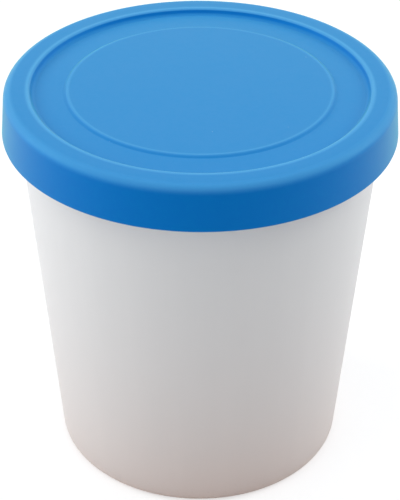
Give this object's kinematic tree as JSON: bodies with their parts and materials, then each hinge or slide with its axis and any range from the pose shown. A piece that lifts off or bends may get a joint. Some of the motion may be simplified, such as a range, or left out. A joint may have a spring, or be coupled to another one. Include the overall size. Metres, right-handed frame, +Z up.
{
  "type": "ice cream tub",
  "caption": "Round tapered white tub for ice cream, closed by a stretch-on blue lid with a raised band, a sunk panel and a low centre disc.",
  "frame": {"origin": "centre of the foot ring that the tub stands on", "axes": "+Z up along the tub's axis; the tub is round, so +X and +Y are free"},
  "size_m": [0.1264, 0.1264, 0.133],
  "materials": {
    "tub_plastic": "satin",
    "lid_silicone": "matte"
  },
  "bodies": {
    "root": {"tub": "tub_plastic", "lid": "lid_silicone"}
  },
  "joints": []
}
